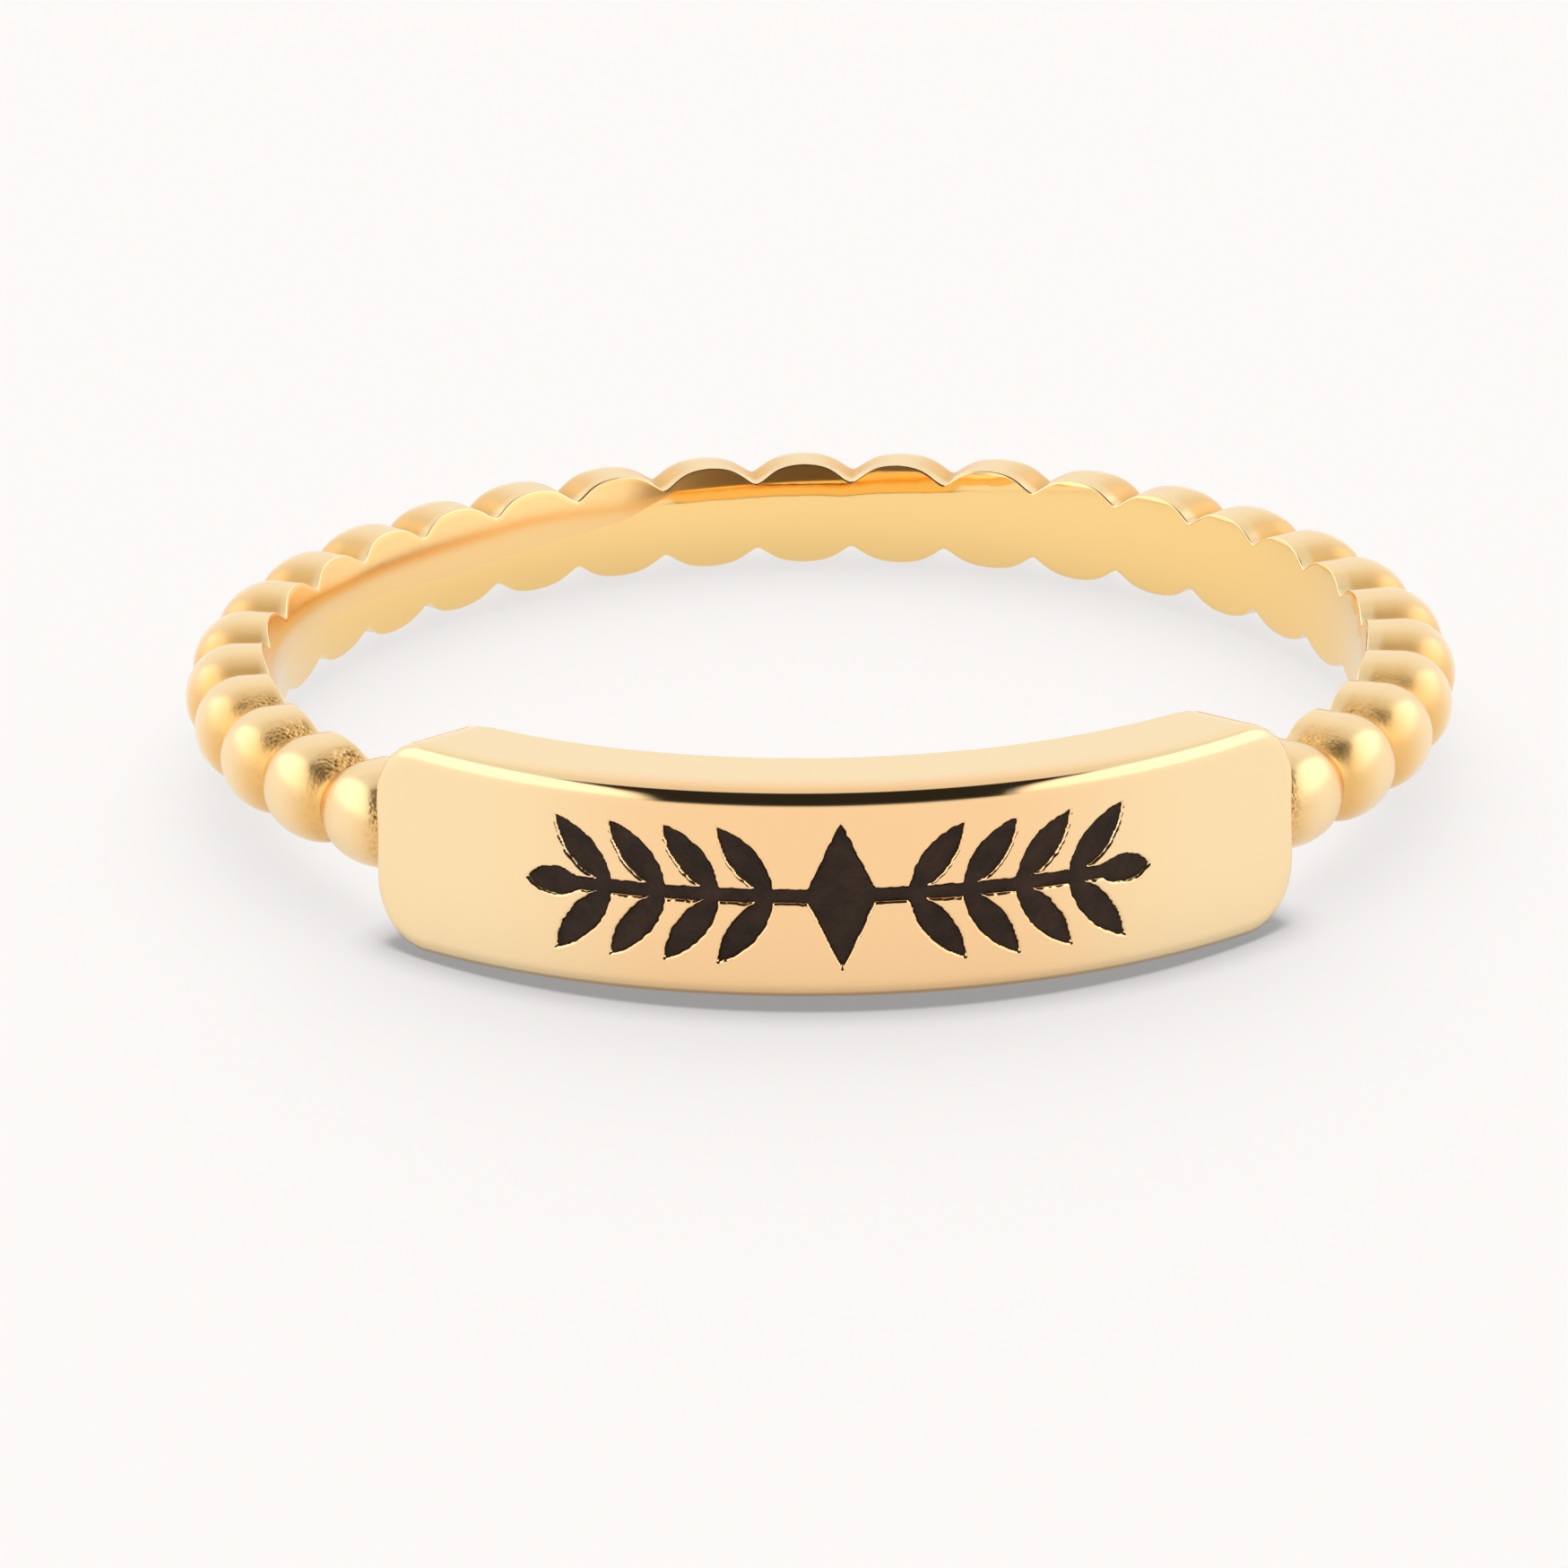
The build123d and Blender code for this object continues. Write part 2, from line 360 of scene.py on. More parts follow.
# Hand work: the finger hole's upper edge is filed to a bevel, broad at the back left and fine at the right
coordinates = band_vectors("co")
cast_skin = band_values("as_cast")
section_step = band_values("section_step")
filed_share = band_values("hand_filed")
degrees_from_front = np.degrees(np.arctan2(coordinates[:, 0], -coordinates[:, 1]))
steps_from_front = np.round(degrees_from_front * steps_along_bead / bead_pitch).astype(int)
stations, *columns = zip(*finger_side_by_place)
for step in np.unique(steps_from_front):
    here = np.nonzero((steps_from_front == step) & (section_step < finger_side_steps))[0]
    degrees = step * bead_pitch / steps_along_bead
    from_groove = (abs(degrees) - band_start) % bead_pitch
    place_along_band = math.copysign(180 - abs(degrees), degrees)
    finger_side_here = [np.interp(place_along_band, stations, column) for column in columns]
    half_height = bead_half_height(min(from_groove, bead_pitch - from_groove))
    section = band_section(half_height, *finger_side_here[:-1])
    coordinates[here] = turned_section(section[np.round(section_step[here]).astype(int)], degrees)
    filed_share[here] *= finger_side_here[-1]
band_mesh.vertices.foreach_set("co", coordinates.ravel())
band_mesh.attributes["hand_filed"].data.foreach_set("value", filed_share)
band_mesh.attributes.remove(band_mesh.attributes["section_step"])
band_mesh.update()

# The grooves beside the plate are rough from the cast, most on the left and towards the finger. So is the
# seam at the plate. Reach and width are in degrees round the finger, the edge in millimetres past the beads'
# middles, and skin is the share of cast skin where the roughness starts and where it is full.
rough_reach = 38.0
rough_fade = 0.7
right_side_share = 0.35
outside_share = 0.1
rough_edge = 0.45
rough_edge_fade = 0.5
least_skin = 1 / 3
full_skin = 8 / 9
seam_share = 0.8
seam_width = 1.5
seam_skin = 1 / 8

from_plate = np.abs(degrees_from_front) - band_start
from_axis = np.hypot(coordinates[:, 0], coordinates[:, 1])
side_share = np.where(coordinates[:, 0] < 0, 1.0, right_side_share)
beside_plate = np.clip(1.0 - from_plate / rough_reach, 0, 1) ** rough_fade * side_share
towards_finger = np.clip((bead_centre + rough_edge - from_axis) / rough_edge_fade, 0, 1)
in_groove = np.clip((cast_skin - least_skin) / (full_skin - least_skin), 0, 1)
rough_cast = in_groove * beside_plate * (outside_share + (1 - outside_share) * towards_finger)
plate_seam = seam_share * np.exp(-((from_plate / seam_width) ** 2)) * np.clip(cast_skin / seam_skin, 0, 1)
rough_cast = np.maximum(rough_cast, plate_seam)

# The beads aren't quite alike, and lumps stand in the rough grooves. Each end of the band is shifted
# outwards a little, so that it doesn't show beside the plate.
bead_unevenness = 0.012
unevenness_width = 1 / 0.55
even_beside_plate = 5.0
lump_height = 0.03
lump_shift = Vector((31, 7, 3))
end_shift = 0.02
end_shift_width = 0.8

normals = band_vectors("normal")
unevenness = np.array([noise.noise(Vector(point) / unevenness_width) for point in coordinates])
unevenness *= np.clip(from_plate / even_beside_plate, 0, 1)
lumps = np.array([noise.noise(Vector(point) / grain_width + lump_shift) for point in coordinates])
moved = coordinates + normals * (bead_unevenness * unevenness + lump_height * lumps * rough_cast)[:, None]
outwards = coordinates * (1, 1, 0) / from_axis[:, None]
moved += outwards * end_shift * np.exp(-((from_plate / end_shift_width) ** 2))[:, None]
band_mesh.vertices.foreach_set("co", moved.astype(np.float32).ravel())
grain_values = band_mesh.attributes.new("cast_grain", "FLOAT", "POINT")
grain_values.data.foreach_set("value", rough_cast.astype(np.float32))

# The two ends are closed inside the plate
edit = bmesh.new()
edit.from_mesh(band_mesh)
bmesh.ops.holes_fill(edit, edges=[edge for edge in edit.edges if edge.is_boundary], sides=0)
bmesh.ops.recalc_face_normals(edit, faces=edit.faces)
edit.to_mesh(band_mesh)
edit.free()
band_mesh.shade_smooth()
band_mesh.transform(lay_down)
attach(bead_band, "root")
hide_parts("ring_body")


# Bar plate
# The curved bar plate that closes the ring's front, cast with the band and plated like it. Its face is
# polished flat across, its corners are rounded, and its edges are eased all round. The ornament, a sprig of
# leaves with a lozenge in its middle, is cut a tenth of a millimetre deep.

plate_half_angle = math.radians(45.8)
plate_half_height = 1.69
plate_front_reach = 10.2
plate_end_radius = 9.95
plate_corner_radius = 1.05
plate_front_round = 0.35
plate_bore_round = 0.12
plate_bore_corner_stretch = 1.15

# An eased edge is a true round at 1 and fuller below that
edge_fullness = 0.8

engraving_depth = 0.12
engraving_wall = 0.03
stem_half_length = 4.15
stem_half_width = 0.1
leaf_length = 1.35
leaf_width = 0.42
leaf_slant = math.radians(52)
leaf_feet = (1.05, 1.87, 2.69, 3.51)
tip_leaf_length = 0.8
tip_leaf_overlap = 0.2
lozenge_half_width = 0.55
lozenge_half_height = 1.15

# What the graver leaves: a ragged edge (how far it strays, patch size, seed) and a fine burr along it
ragged_edge = (
    (0.012, 0.09, 5),
    (0.008, 0.045, 6),
)
patch_table = (64, 1024)
patch_corner = (-10, -3)
burr_height = 0.004
burr_place = 0.03
burr_spread = 0.025

# Painted shade: the face's middle is painted darker and rosier, as far out as this, and only on its front
painted_shade_half_width = 5.6
painted_shade_fade = 3.4
painted_shade_radius = 9.6
painted_shade_radius_fade = 0.3
finger_side_fade = 0.05

# The cut field of the face is a fine grid, and the rest runs in loops round it
field_half_width = 5.0
field_half_height = 1.2
field_cell = 0.025
cells_per_step = 4
back_field_half_turn = 0.55
back_field_half_height = 1.2
corner_steps = 8
edge_steps = 14
face_loops = 9
wall_loops = 5
back_loops = 6
cells_across = round(2 * field_half_width / field_cell)
cells_up = round(2 * field_half_height / field_cell)
steps_across = cells_across // cells_per_step
steps_up = cells_up // cells_per_step
steps_round = 2 * (steps_across + steps_up)
points_per_row = cells_across + 1

half_chord = plate_end_radius * math.sin(plate_half_angle)
bow = plate_front_reach - plate_end_radius * math.cos(plate_half_angle)
front_radius = (half_chord**2 + bow**2) / (2 * bow)
front_centre = front_radius - plate_front_reach


def smooth(share):
    """A share from 0 to 1 that starts and ends softly."""
    return share * share * (3 - 2 * share)


def patchy(x, z, layers):
    """Smooth random values over the plate's face, from layers with a height, a patch size and a seed."""
    total = 0
    for height, size, seed in layers:
        table = np.random.RandomState(seed).uniform(-1, 1, patch_table)
        column, row = (x - patch_corner[0]) / size, (z - patch_corner[1]) / size
        i, j = np.floor(column).astype(int), np.floor(row).astype(int)
        s, t = smooth(column - i), smooth(row - j)
        low, high = [
            table[(j + up) % patch_table[0], i % patch_table[1]] * (1 - s)
            + table[(j + up) % patch_table[0], (i + 1) % patch_table[1]] * s
            for up in (0, 1)]
        total = total + height * (low * (1 - t) + high * t)
    return total


def leaf_distance(x, z, foot, slant, length):
    """Distance outside (above 0) or inside (below 0) a pointed leaf that grows from its foot on the stem."""
    along = (x - foot) * math.cos(slant) + z * math.sin(slant) - length / 2
    across = z * math.cos(slant) - (x - foot) * math.sin(slant)
    radius = (length**2 + leaf_width**2) / (4 * leaf_width)
    offset = radius - leaf_width / 2
    return np.maximum(np.hypot(along, across - offset), np.hypot(along, across + offset)) - radius


def ornament_distance(x, z):
    """Distance to the sprig's outline on the flat face, with its ragged edge: below 0 inside the cut."""
    side = np.abs(x)
    up = np.abs(z)
    shapes = [np.maximum(side - stem_half_length, up - stem_half_width)]
    shapes += [leaf_distance(side, up, foot, leaf_slant, leaf_length) for foot in leaf_feet]
    shapes += [leaf_distance(side, z, stem_half_length - tip_leaf_overlap, 0.0, tip_leaf_length)]
    lozenge = side * lozenge_half_height + up * lozenge_half_width - lozenge_half_width * lozenge_half_height
    shapes += [lozenge / math.hypot(lozenge_half_width, lozenge_half_height)]
    return np.minimum.reduce(shapes) + patchy(x, z, ragged_edge)


def front_y(x):
    """Where the plate's front face is, at a distance from its middle."""
    return front_centre - np.sqrt(front_radius**2 - x**2)


def plate_outline(wall_inset, surface_radius, surface_centre, stretch):
    """The plate's outline, anticlockwise from the front's lower left: points, directions out of the wall."""
    arc = plate_corner_radius - wall_inset
    flat_half = plate_half_height - plate_corner_radius
    sin_end, cos_end = math.sin(plate_half_angle), math.cos(plate_half_angle)

    def end_point(inset, z):
        """A point of the surface at a distance from the plate's right end."""
        under = (cos_end**2 - 1) * surface_centre**2 - inset**2 - 2 * inset * sin_end * surface_centre
        along = math.sqrt(under + surface_radius**2) - cos_end * surface_centre
        return Vector((along * sin_end - inset * cos_end, -along * cos_end - inset * sin_end, z))

    straight_steps = steps_up // 2 - corner_steps
    top_steps = steps_across // 2
    quarter = []
    for k in range(straight_steps):
        out = Vector((cos_end, sin_end, 0))
        quarter.append((end_point(wall_inset, flat_half * k / straight_steps), out))
    for k in range(corner_steps + 1):
        turn = math.pi / 2 * k / corner_steps
        inset = wall_inset + arc * stretch * (1 - math.cos(turn))
        out = Vector((cos_end * math.cos(turn), sin_end * math.cos(turn), stretch * math.sin(turn)))
        quarter.append((end_point(inset, flat_half + arc * math.sin(turn)), out.normalized()))
    corner_x = quarter[-1][0].x
    for k in range(1, top_steps + 1):
        x = corner_x * (1 - k / top_steps)
        y = surface_centre - math.sqrt(surface_radius**2 - x**2)
        quarter.append((Vector((x, y, plate_half_height - wall_inset)), Vector((0, 0, 1))))

    def mirrored(pair, sign_x, sign_z):
        """A point and its direction on another quarter of the plate."""
        return tuple(Vector((v.x * sign_x, v.y, v.z * sign_z)) for v in pair)

    top_left = [mirrored(pair, -1, 1) for pair in quarter[:-1]][::-1]
    bottom_left = [mirrored(pair, -1, -1) for pair in quarter[1:]]
    bottom_right = [mirrored(pair, 1, -1) for pair in quarter[:-1]][::-1]
    loop = quarter + top_left + bottom_left + bottom_right[:-1]
    start = steps_up // 2 + steps_across + steps_up
    return loop[start:] + loop[:start]


def away_from(point, centre_y):
    """The direction from an upright axis to a point."""
    return Vector((point.x, point.y - centre_y, 0)).normalized()


def eased(outline, side, centre_y, radius, share):
    """A loop on an eased edge, from its surface side (0) to its wall side (1): points and normals."""
    loop = []
    for middle, wall in outline:
        surface = away_from(middle, centre_y) * side
        between = surface.angle(wall)
        surface_share = math.sin((1 - share) * between) / math.sin(between)
        wall_share = math.sin(share * between) / math.sin(between)
        reach = surface * surface_share**edge_fullness + wall * wall_share**edge_fullness
        out = surface * surface_share ** (2 - edge_fullness) + wall * wall_share ** (2 - edge_fullness)
        loop.append((middle + reach * radius, out.normalized()))
    return loop


def bore_point(turn, z):
    """A point of the finger hole's wall and its normal, at an angle from the plate's middle."""
    out = Vector((math.sin(turn), -math.cos(turn), 0))
    return out * bore_radius + Vector((0, 0, z)), -out


def border(across, up):
    """The places (column, row) round a grid's border, anticlockwise from its lower left."""
    places = [(i, 0) for i in range(across)] + [(across, j) for j in range(up)]
    return places + [(i, up) for i in range(across, 0, -1)] + [(0, j) for j in range(up, 0, -1)]


def cell_corners(i, j):
    """Numbers of the four points round a cell of the face's grid, anticlockwise."""
    low_left = j * points_per_row + i
    return low_left, low_left + 1, low_left + points_per_row + 1, low_left + points_per_row


# The engraved grid
grid_x, grid_z = np.meshgrid(
    np.linspace(-field_half_width, field_half_width, cells_across + 1),
    np.linspace(-field_half_height, field_half_height, cells_up + 1))
to_cut = ornament_distance(grid_x, grid_z).ravel()
grid_x, grid_z = grid_x.ravel(), grid_z.ravel()
cut = engraving_depth * smooth(np.clip(0.5 - to_cut / (2 * engraving_wall), 0, 1))
depth = cut - burr_height * np.exp(-((to_cut - burr_place) / burr_spread) ** 2)
face_y = front_y(grid_x)
inward = np.stack([-grid_x, front_centre - face_y], 1) / front_radius
points = list(np.stack([grid_x + inward[:, 0] * depth, face_y + inward[:, 1] * depth, grid_z], 1))
faces = [cell_corners(i, j) for j in range(cells_up) for i in range(cells_across)]
rim = [j * points_per_row + i for i, j in border(cells_across, cells_up)]

# The loops round it: over the face, the front edge, the wall and the bore's edge, and into the finger hole
front_outline = plate_outline(plate_front_round, front_radius - plate_front_round, front_centre, 1.0)
bore_outline = plate_outline(
    plate_bore_round, bore_radius + plate_bore_round, 0.0, plate_bore_corner_stretch)
front_rim = eased(front_outline, 1, front_centre, plate_front_round, 0.0)
loops = []
for k in range(1, face_loops + 1):
    loop = []
    mix = k / face_loops
    for i, (edge_point, _) in enumerate(front_rim):
        start = rim[i * cells_per_step]
        x = grid_x[start] * (1 - mix) + edge_point.x * mix
        z = grid_z[start] * (1 - mix) + edge_point.z * mix
        face_point = Vector((x, front_y(x), z))
        loop.append((face_point, away_from(face_point, front_centre)))
    loops.append(loop)
for k in range(1, edge_steps + 1):
    loops.append(eased(front_outline, 1, front_centre, plate_front_round, k / edge_steps))
wall_front = loops[-1]
wall_bore = eased(bore_outline, -1, 0.0, plate_bore_round, 1.0)
for k in range(1, wall_loops):
    mix = k / wall_loops
    loops.append([
        (a.lerp(b, mix), m.lerp(n, mix).normalized()) for (a, m), (b, n) in zip(wall_front, wall_bore)])
for k in range(edge_steps // 2 + 1):
    loops.append(eased(bore_outline, -1, 0.0, plate_bore_round, 1 - 2 * k / edge_steps))
bore_rim = loops[-1]
back_turn = np.linspace(-back_field_half_turn, back_field_half_turn, steps_across + 1)
back_z = np.linspace(-back_field_half_height, back_field_half_height, steps_up + 1)
back_rim = border(steps_across, steps_up)
for k in range(1, back_loops + 1):
    loop = []
    mix = k / back_loops
    for (edge_point, _), (i, j) in zip(bore_rim, back_rim):
        turn = math.atan2(edge_point.x, -edge_point.y) * (1 - mix) + back_turn[i] * mix
        loop.append(bore_point(turn, edge_point.z * (1 - mix) + back_z[j] * mix))
    loops.append(loop)

# The loops are joined to the grid and to each other, and the plate's back is closed with a coarser grid
first_of_loops = len(points)
exact_normals = []
for loop in loops:
    points += [tuple(point) for point, _ in loop]
    exact_normals += [normal for _, normal in loop]
for i in range(steps_round):
    after = (i + 1) % steps_round
    fine = [rim[(i * cells_per_step + k) % len(rim)] for k in range(cells_per_step + 1)]
    faces.append((fine[0], first_of_loops + i, first_of_loops + after, *fine[:0:-1]))
    for k in range(len(loops) - 1):
        near = first_of_loops + k * steps_round
        far = near + steps_round
        faces.append((near + i, far + i, far + after, near + after))
last_loop = first_of_loops + (len(loops) - 1) * steps_round
back_index = {spot: last_loop + i for i, spot in enumerate(back_rim)}
for j in range(1, steps_up):
    for i in range(1, steps_across):
        back_index[i, j] = len(points)
        point, normal = bore_point(back_turn[i], back_z[j])
        points.append(tuple(point))
        exact_normals.append(normal)
for j in range(steps_up):
    for i in range(steps_across):
        faces.append(tuple(back_index[spot] for spot in ((i, j), (i, j + 1), (i + 1, j + 1), (i + 1, j))))
bar_plate = mesh_piece("bar_plate", points, faces)

# Outside the cut, the normals are those of the true surface
uncut = 0.0001
all_normals = [vertex.normal.copy() for vertex in bar_plate.data.vertices[:first_of_loops]] + exact_normals
for i in np.nonzero(np.abs(depth) < uncut)[0]:
    all_normals[i] = away_from(bar_plate.data.vertices[i].co, front_centre)
from_axis = np.hypot([point[0] for point in points], [point[1] for point in points])
from_plate_middle = np.abs([point[0] for point in points])
on_front = np.clip((from_axis - painted_shade_radius) / painted_shade_radius_fade, 0, 1)
plate_values = {
    # The finger side's share also paints its deeper reflection
    "finger_side": np.clip((bore_radius + plate_bore_round - from_axis) / finger_side_fade, 0, 1),
    # The face's middle gets a painted shade, darker and rosier
    "painted_face_shade": smooth(np.clip((painted_shade_half_width - from_plate_middle) / painted_shade_fade, 0, 1)) * on_front,
}
for name, values in plate_values.items():
    bar_plate.data.attributes.new(name, "FLOAT", "POINT").data.foreach_set("value", values)
bar_plate.data.transform(lay_down)
bar_plate.data.normals_split_custom_set_from_vertices([lean @ normal for normal in all_normals])
bar_plate.data.materials.append(gold_plating)
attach(bar_plate, "root")
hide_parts("ring_body")


# Engraving filling
# The cut lines are darkened with a thin black-brown oxide that sits just under the face. It is dull, with
# the coarse crumbs that the graver leaves in the floor of the cut.

# Depths under the face, and the top's unevenness: height, patch size, seed
filling_top = 0.045
filling_floor = 0.1
filling_clearance = 0.002
uneven_top = (
    (0.008, 0.06, 11),
    (0.006, 0.2, 12),
)

# Dull black-brown oxide, clouded and crumbly, which swallows the light that the gold throws back. Its two
# tones each stand at a share of the clouds, and its widths and heights are in millimetres.
oxide_tones = (
    (0.35, "#38261A"),
    (0.7, "#4C3626"),
)
oxide_crumb_width = 1 / 14
oxide_crumb_height = 0.01
oxide_cloud_width = 0.4

dark_oxide, tree = new_material("dark_oxide_in_engraving")
place = add_node(tree, "ShaderNodeTexCoord").outputs["Object"]
crumbs = add_node(tree, "ShaderNodeTexNoise", {
    "Vector": place, "Scale": pattern_scale(oxide_crumb_width), "Detail": 4.0, "Roughness": 0.65})
clouds = add_node(tree, "ShaderNodeTexNoise", {
    "Vector": place, "Scale": pattern_scale(oxide_cloud_width), "Detail": 2.0})
dark_tone = add_node(tree, "ShaderNodeValToRGB", {"Fac": clouds.outputs["Fac"]})
for stop, (position, colour) in zip(dark_tone.color_ramp.elements, oxide_tones):
    stop.position = position
    stop.color = linear(colour)
crumb_height = add_node(tree, "ShaderNodeBump", {
    "Strength": 0.5, "Distance": oxide_crumb_height * millimetre, "Height": crumbs.outputs["Fac"]})
oxide = add_node(tree, "ShaderNodeBsdfPrincipled", {
    "Base Color": dark_tone.outputs["Color"], "Roughness": 0.6, "Specular IOR Level": 0.25,
    "Normal": crumb_height.outputs["Normal"]})
add_node(tree, "ShaderNodeOutputMaterial", {"Surface": oxide.outputs["BSDF"]})

# The filling's outline is where the cut's wall meets it, found cell by cell on the face's grid
level = to_cut + filling_clearance
inside = level < 0
top_numbers = {}
top_points = []


def top_vertex(key, x, z):
    """Number of a point on the filling's top, made when it is first asked for."""
    if key not in top_numbers:
        top_numbers[key] = len(top_points)
        top_points.append((x, z))
    return top_numbers[key]


top_faces = []
at_corner = inside.reshape(cells_up + 1, points_per_row)
cell_touched = at_corner[:-1, :-1] | at_corner[1:, :-1] | at_corner[:-1, 1:] | at_corner[1:, 1:]
for j, i in np.argwhere(cell_touched).tolist():
    corners = cell_corners(i, j)
    outline = []
    for a, b in zip(corners, corners[1:] + corners[:1]):
        if inside[a]:
            outline.append(top_vertex(a, grid_x[a], grid_z[a]))
        if inside[a] != inside[b]:
            mix = level[a] / (level[a] - level[b])
            x = grid_x[a] + (grid_x[b] - grid_x[a]) * mix
            z = grid_z[a] + (grid_z[b] - grid_z[a]) * mix
            outline.append(top_vertex((min(a, b), max(a, b)), x, z))
    if len(set(outline)) > 2:
        top_faces.append(tuple(outline))
flat = np.array(top_points)


def sunk(depths):
    """The filling's points at these depths under the plate's face."""
    y = front_y(flat[:, 0])
    out = np.stack([flat[:, 0], y - front_centre], 1) / front_radius
    return np.stack([flat[:, 0] - out[:, 0] * depths, y - out[:, 1] * depths, flat[:, 1]], 1)


# The floor repeats the top, and a wall joins them along the edges that belong to one face alone
count = len(flat)
top_depths = filling_top + patchy(flat[:, 0], flat[:, 1], uneven_top)
points = np.concatenate([sunk(top_depths), sunk(np.full(count, filling_floor))])
faces = top_faces + [tuple(count + v for v in reversed(face)) for face in top_faces]
edges = [edge for face in top_faces for edge in zip(face, face[1:] + face[:1])]
known_edges = set(edges)
faces += [(b, a, count + a, count + b) for a, b in edges if (b, a) not in known_edges]
engraving_filling = mesh_piece("engraving_filling", points, faces)
engraving_filling.data.transform(lay_down)
engraving_filling.data.materials.append(dark_oxide)
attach(engraving_filling, "root")
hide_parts("engraving_fill")


# Floor
# A sheet of matt white board, wide enough to fill the view and to be what the ring's sides reflect. It glows
# a little by itself, for the light that a white studio throws on it from all sides.

floor_size_in_metres = 6.0

# Uncoated white card: matt, with no gloss to the eye
white_board, tree = new_material("matt_white_board")
board = add_node(tree, "ShaderNodeBsdfPrincipled", {
    "Base Color": linear("#C9C7C5"), "Roughness": 0.9, "Specular IOR Level": 0.2,
    "Emission Color": linear("#FAF7F6"), "Emission Strength": 0.35})
add_node(tree, "ShaderNodeOutputMaterial", {"Surface": board.outputs["BSDF"]})
bpy.ops.mesh.primitive_plane_add(size=floor_size_in_metres, location=(0, 0, 0))
floor = bpy.context.object
floor.name = "floor"
floor.data.materials.append(white_board)


# Light
# The gold mirrors a studio: a white cove behind, a large softbox on each side, and an unlit room above and
# in front, where the camera is. Two lamps light the board and the filling alone, so that the gold gets no
# second set of highlights.

# The softboxes from low to high: their brightness, and the place of the inner edge. Heights are the upward
# share of a direction, and an edge's place and width are its sideways share.
softbox_glow = (1.0, 1.46)
softbox_height = (0.05, 0.38)
inner_edge_place = (0.51, 0.455)
inner_edge_height = (0.4, 1.0)
softbox_edge = 0.09

# Brightness of the room in the ring's middle plane, by tilt from straight up towards the back
room_by_tilt = (
    (-90, 0.80),
    (-86, 0.70),
    (-81, 0.12),
    (-74, 0.025),
    (-3, 0.025),
    (3, 0.82),
    (40, 0.90),
    (46, 0.96),
    (90, 0.96),
)
world = bpy.data.worlds.new("studio")
bpy.context.scene.world = world
world.use_nodes = True
tree = world.node_tree
tree.nodes.clear()
direction = add_node(tree, "ShaderNodeTexCoord").outputs["Generated"]
way = add_node(tree, "ShaderNodeSeparateXYZ", {"Vector": direction}).outputs
tilt = add_node(tree, "ShaderNodeMath", {0: way["Y"], 1: way["Z"]}, operation="ARCTAN2")
tilt_share = add_node(tree, "ShaderNodeMapRange", {
    "Value": tilt.outputs["Value"], "From Min": -math.pi / 2, "From Max": math.pi / 2})
room = add_node(tree, "ShaderNodeValToRGB", {"Fac": tilt_share.outputs["Result"]})
stops = room.color_ramp.elements
for stop_number, (angle, brightness) in enumerate(room_by_tilt):
    position = (angle + 90) / 180
    stop = stops[stop_number] if stop_number < 2 else stops.new(position)
    stop.position = position
    stop.color = (brightness, brightness, brightness, 1)
sideways = add_node(tree, "ShaderNodeMath", {0: way["X"]}, operation="ABSOLUTE")
inner_edge = add_node(tree, "ShaderNodeMapRange", {
    "Value": way["Z"], "From Min": inner_edge_height[0], "From Max": inner_edge_height[1],
    "To Min": inner_edge_place[0], "To Max": inner_edge_place[1]})
full_edge = add_node(tree, "ShaderNodeMath", {
    0: inner_edge.outputs["Result"], 1: softbox_edge}, operation="ADD")
in_softbox = add_node(tree, "ShaderNodeMapRange", {
    "Value": sideways.outputs["Value"], "From Min": inner_edge.outputs["Result"],
    "From Max": full_edge.outputs["Value"]}, interpolation_type="SMOOTHSTEP")
glow = add_node(tree, "ShaderNodeMapRange", {
    "Value": way["Z"], "From Min": softbox_height[0], "From Max": softbox_height[1],
    "To Min": softbox_glow[0], "To Max": softbox_glow[1]}, interpolation_type="SMOOTHSTEP")
lit = add_node(tree, "ShaderNodeMix", {
    0: in_softbox.outputs["Result"], 2: room.outputs["Color"], 3: glow.outputs["Result"]}, data_type="FLOAT")
studio = add_node(tree, "ShaderNodeBackground", {"Color": linear("#FFFEFA"), "Strength": lit.outputs[0]})
add_node(tree, "ShaderNodeOutputWorld", {"Surface": studio.outputs["Background"]})
world.cycles_visibility.diffuse = False

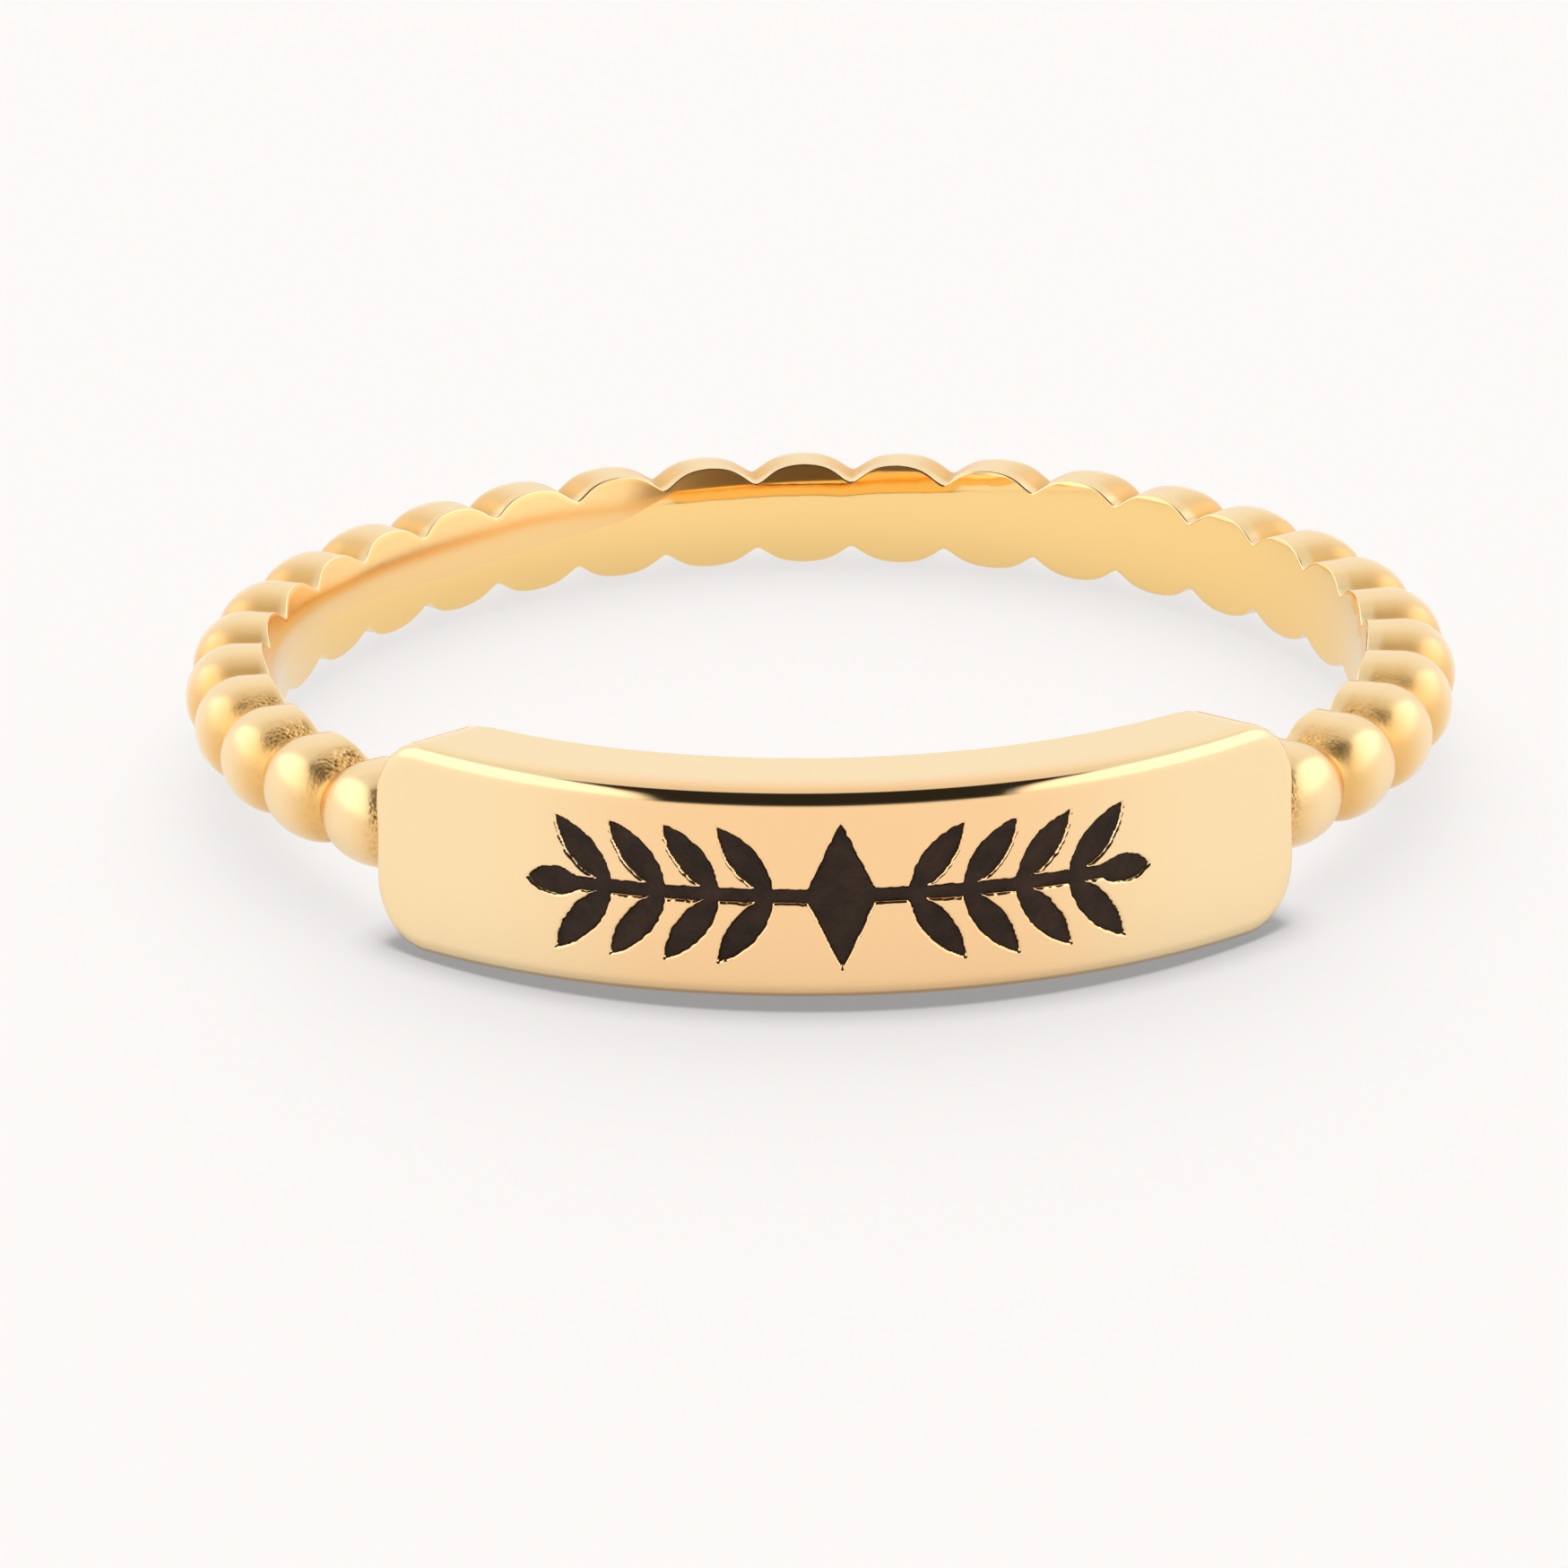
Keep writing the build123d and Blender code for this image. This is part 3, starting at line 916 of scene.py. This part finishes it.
# The board's lamps: brightness, breadth in degrees, degrees from overhead towards the back, what shades it.
# The plate alone shades the first, for the shadow under it. Every piece shades the second, which is broad.
lit_by_lamps = bpy.data.collections.new("lit_by_lamps")
for piece in (floor, engraving_filling):
    lit_by_lamps.objects.link(piece)
under_the_plate = bpy.data.collections.new("under_the_plate")
under_the_plate.objects.link(bar_plate)
board_lamps = (
    ("overhead_board_lamp", 2.4, 28, 2, under_the_plate),
    ("back_board_lamp", 1.15, 80, 40, None),
)
for name, strength, breadth, from_overhead, shaded_by in board_lamps:
    lamp = bpy.data.objects.new(name, bpy.data.lights.new(name, "SUN"))
    lamp.data.energy = strength
    lamp.data.angle = math.radians(breadth)
    lamp.rotation_euler = (-math.radians(from_overhead), 0, 0)
    lamp.light_linking.receiver_collection = lit_by_lamps
    lamp.light_linking.blocker_collection = shaded_by
    bpy.context.scene.collection.objects.link(lamp)

# The plain view transform keeps the photograph's tones. Without caustics the board by the gold stays white.
bpy.context.scene.view_settings.view_transform = "Standard"
bpy.context.scene.cycles.caustics_reflective = False


# Camera
# A long lens on the ring's front right, looking down on it, with the ring's middle a little right of and
# above the picture's middle. Its angles are against the ring's own plane, which leans.

# Distances are in metres here, and places in the picture in pixels of its full size
image_size = 1749
focal_pixels = 28585.0
camera_distance = 0.4
nearest_seen = 0.01
camera_elevation = math.radians(18.504)
camera_turn = math.radians(1.553)
camera_roll = math.radians(0.724)
ring_middle_in_image = (915.55, 763.44)
sensor_width = 36.0

back = Vector((0, -math.cos(camera_elevation), math.sin(camera_elevation)))
upwards = Vector((0, math.sin(camera_elevation), math.cos(camera_elevation)))
right = Vector((1, 0, 0))
rolled_right = right * math.cos(camera_roll) - upwards * math.sin(camera_roll)
rolled_up = right * math.sin(camera_roll) + upwards * math.cos(camera_roll)
to_room = lean @ Matrix.Rotation(-camera_turn, 3, "Z")
lens = bpy.data.cameras.new("camera")
lens.sensor_width = sensor_width
lens.lens = focal_pixels / image_size * sensor_width
lens.clip_start = nearest_seen
lens.shift_x = (image_size / 2 - ring_middle_in_image[0]) / image_size
lens.shift_y = (ring_middle_in_image[1] - image_size / 2) / image_size
camera = bpy.data.objects.new("camera", lens)
placed = Matrix((to_room @ rolled_right, to_room @ rolled_up, to_room @ back)).transposed().to_4x4()
placed.translation = hole_middle + to_room @ back * camera_distance
camera.matrix_world = placed
bpy.context.scene.collection.objects.link(camera)
bpy.context.scene.camera = camera
